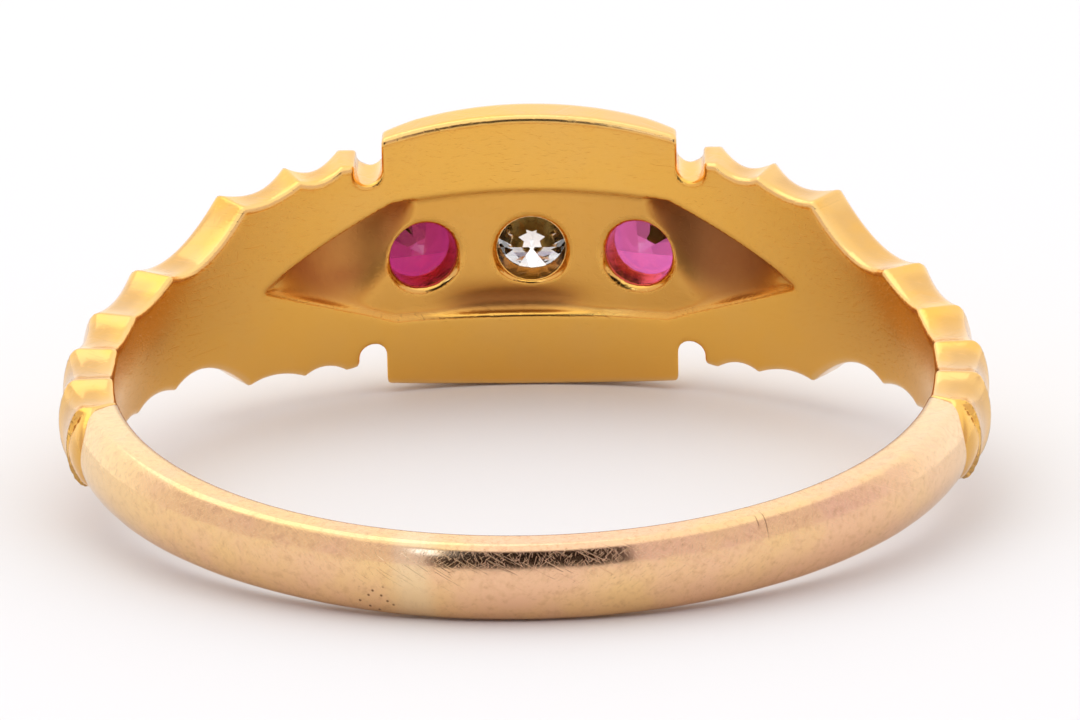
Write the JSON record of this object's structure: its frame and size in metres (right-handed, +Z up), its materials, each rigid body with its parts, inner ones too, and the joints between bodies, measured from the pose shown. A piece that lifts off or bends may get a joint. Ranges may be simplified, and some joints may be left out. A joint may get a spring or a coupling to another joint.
{
  "type": "gemstone finger ring",
  "caption": "Finger ring lying on its side: low-domed band, scalloped shoulders and a broad notched head that holds a row of round cut stones.",
  "frame": {"origin": "middle of the ring's box in plan, on the surface that it lies on", "axes": "+Z up from the surface, +Y from the back of the band towards the stones, +X across the ring"},
  "size_m": [0.0196, 0.02, 0.0065],
  "materials": {
    "gold": "polished gold with fine wear, rosy on the band and yellow on the head",
    "ruby_deep": "polished cut stone, deep pink-red",
    "diamond": "polished cut stone, colourless",
    "ruby_pink": "polished cut stone, pink"
  },
  "bodies": {
    "root": {"shank_and_setting": "gold", "ruby_left": "ruby_deep", "diamond": "diamond", "ruby_right": "ruby_pink"}
  },
  "joints": []
}
